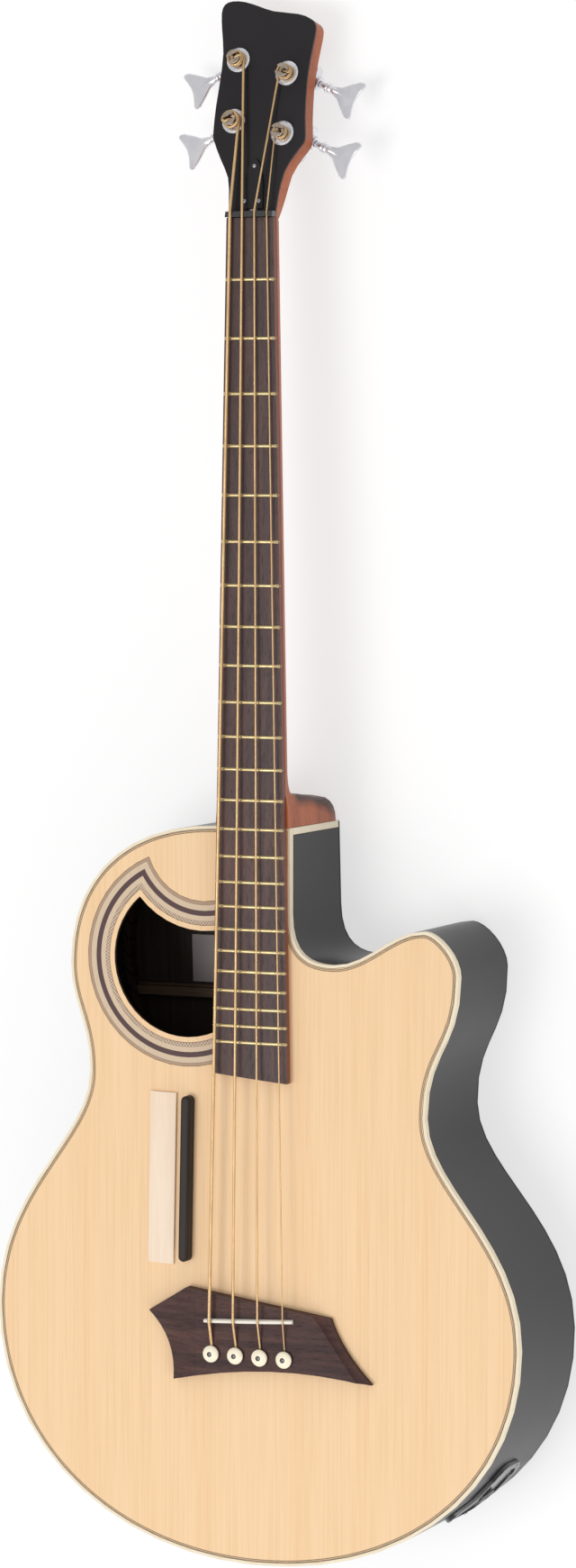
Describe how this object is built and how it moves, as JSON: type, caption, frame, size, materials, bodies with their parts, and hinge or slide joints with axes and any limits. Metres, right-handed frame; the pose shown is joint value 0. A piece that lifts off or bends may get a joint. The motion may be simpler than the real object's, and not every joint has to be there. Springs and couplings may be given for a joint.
{
  "type": "acoustic bass guitar",
  "caption": "Acoustic bass guitar with a flat-backed cutaway sound box, cusped soundhole, thumb rest, fretted neck, pinned bridge and geared tuners.",
  "frame": {"origin": "on the outer face of the flat back, straight behind the middle of the saddle", "axes": "+X to the treble side, +Y along the neck to the headstock, +Z out of the back towards the strings; the back lies on Z = 0"},
  "size_m": [0.454, 1.248, 0.1378],
  "materials": {
    "spruce": "clear satin lacquer",
    "brace_spruce": "bare wood",
    "black_lacquer": "black gloss lacquer on wood",
    "cream_plastic": "polished strip",
    "mahogany": "satin lacquer",
    "rosette_wood": "inlaid rings under lacquer",
    "rosewood": "oiled open grain",
    "maple": "satin",
    "ebony": "polished",
    "black_plastic": "gloss",
    "black_face": "gloss lacquered veneer",
    "bone": "polished",
    "pin_ivory": "polished",
    "bronze": "round wound",
    "chrome": "satin plated",
    "steel": "plain"
  },
  "bodies": {
    "instrument": {"back": "black_lacquer", "back_brace_1": "brace_spruce", "back_brace_2": "brace_spruce", "back_brace_3": "brace_spruce", "bass_back_lining": "mahogany", "bass_side": "black_lacquer", "bass_top_lining": "mahogany", "bridge": "rosewood", "bridge_plate": "maple", "fingerboard": "rosewood", "headstock_face": "black_face", "heel_joint_trim": "cream_plastic", "jack_plate": "black_plastic", "neck": "mahogany", "neck_block": "mahogany", "nut": "black_plastic", "output_jack": "steel", "rosette": "rosette_wood", "saddle": "bone", "saddle_pickup": "steel", "soundboard": "spruce", "strap_button": "chrome", "string_a": "bronze", "string_d": "bronze", "string_e": "bronze", "string_g": "bronze", "tail_block": "mahogany", "thumb_rest_pad": "maple", "thumb_rest_rail": "ebony", "tone_bar_1": "brace_spruce", "tone_bar_2": "brace_spruce", "top_binding": "cream_plastic", "treble_back_lining": "mahogany", "treble_side": "black_lacquer", "treble_top_lining": "mahogany", "truss_rod": "steel", "truss_rod_cover": "black_plastic", "truss_rod_nut": "steel", "tuner_bushing_a": "chrome", "tuner_bushing_d": "chrome", "tuner_bushing_e": "chrome", "tuner_bushing_g": "chrome", "tuner_housing_a": "chrome", "tuner_housing_d": "chrome", "tuner_housing_e": "chrome", "tuner_housing_g": "chrome", "upper_brace": "brace_spruce", "x_brace": "brace_spruce"},
    "key_e": {"tuner_key_e": "chrome"},
    "post_e": {"tuner_post_e": "chrome"},
    "key_a": {"tuner_key_a": "chrome"},
    "post_a": {"tuner_post_a": "chrome"},
    "key_d": {"tuner_key_d": "chrome"},
    "post_d": {"tuner_post_d": "chrome"},
    "key_g": {"tuner_key_g": "chrome"},
    "post_g": {"tuner_post_g": "chrome"},
    "pin_e": {"bridge_pin_e": "pin_ivory"},
    "pin_a": {"bridge_pin_a": "pin_ivory"},
    "pin_d": {"bridge_pin_d": "pin_ivory"},
    "pin_g": {"bridge_pin_g": "pin_ivory"}
  },
  "joints": [
    {"name": "key_e_turn", "type": "hinge", "parent": "instrument", "child": "key_e", "pos_m": [-0.0506, 0.9236, 0.03604], "axis": [-0.9063, -0.4102, 0.1016], "continuous": true},
    {"name": "post_e_turn", "type": "hinge", "parent": "instrument", "child": "post_e", "pos_m": [-0.0213, 0.93699, 0.05621], "axis": [0, 0.2404, 0.9707], "continuous": true},
    {"name": "key_a_turn", "type": "hinge", "parent": "instrument", "child": "key_a", "pos_m": [-0.0506, 0.97116, 0.02426], "axis": [-0.9063, -0.4102, 0.1016], "continuous": true},
    {"name": "post_a_turn", "type": "hinge", "parent": "instrument", "child": "post_a", "pos_m": [-0.0213, 0.98455, 0.04443], "axis": [0, 0.2404, 0.9707], "continuous": true},
    {"name": "key_d_turn", "type": "hinge", "parent": "instrument", "child": "key_d", "pos_m": [0.0506, 0.95961, 0.02712], "axis": [0.9063, -0.4102, 0.1016], "continuous": true},
    {"name": "post_d_turn", "type": "hinge", "parent": "instrument", "child": "post_d", "pos_m": [0.0213, 0.973, 0.04729], "axis": [0, 0.2404, 0.9707], "continuous": true},
    {"name": "key_g_turn", "type": "hinge", "parent": "instrument", "child": "key_g", "pos_m": [0.0506, 0.91323, 0.03861], "axis": [0.9063, -0.4102, 0.1016], "continuous": true},
    {"name": "post_g_turn", "type": "hinge", "parent": "instrument", "child": "post_g", "pos_m": [0.0213, 0.92662, 0.05878], "axis": [0, 0.2404, 0.9707], "continuous": true},
    {"name": "pin_e_pull", "type": "slide", "parent": "instrument", "child": "pin_e", "axis": [0, 0.0595, 0.9982], "range_m": [0, 0.025]},
    {"name": "pin_a_pull", "type": "slide", "parent": "instrument", "child": "pin_a", "axis": [0, 0.0595, 0.9982], "range_m": [0, 0.025]},
    {"name": "pin_d_pull", "type": "slide", "parent": "instrument", "child": "pin_d", "axis": [0, 0.0595, 0.9982], "range_m": [0, 0.025]},
    {"name": "pin_g_pull", "type": "slide", "parent": "instrument", "child": "pin_g", "axis": [0, 0.0595, 0.9982], "range_m": [0, 0.025]}
  ],
  "couplings": [
    {"joint": "post_e_turn", "follows": "key_e_turn", "ratio": 0.05},
    {"joint": "post_a_turn", "follows": "key_a_turn", "ratio": 0.05},
    {"joint": "post_d_turn", "follows": "key_d_turn", "ratio": -0.05},
    {"joint": "post_g_turn", "follows": "key_g_turn", "ratio": -0.05}
  ]
}
